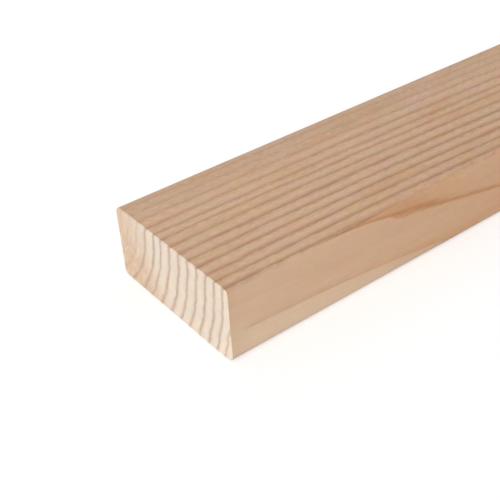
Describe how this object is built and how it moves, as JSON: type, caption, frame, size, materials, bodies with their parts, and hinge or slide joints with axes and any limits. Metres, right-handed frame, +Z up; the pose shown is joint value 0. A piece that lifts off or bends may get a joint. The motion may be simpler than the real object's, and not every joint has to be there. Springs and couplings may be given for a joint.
{
  "type": "lumber plank",
  "caption": "Straight planed softwood plank with eased long edges and square cross-cut ends, for framing, shelving and general building.",
  "frame": {"origin": "middle of the wide face that the plank lies on", "axes": "+X along the length, +Y across the width, +Z up through the thickness"},
  "size_m": [2.44, 0.09, 0.04],
  "materials": {
    "softwood": "planed and unsealed, with raised growth-ring grain; the cross-cut ends are paler"
  },
  "bodies": {
    "root": {"plank": "softwood"}
  },
  "joints": []
}
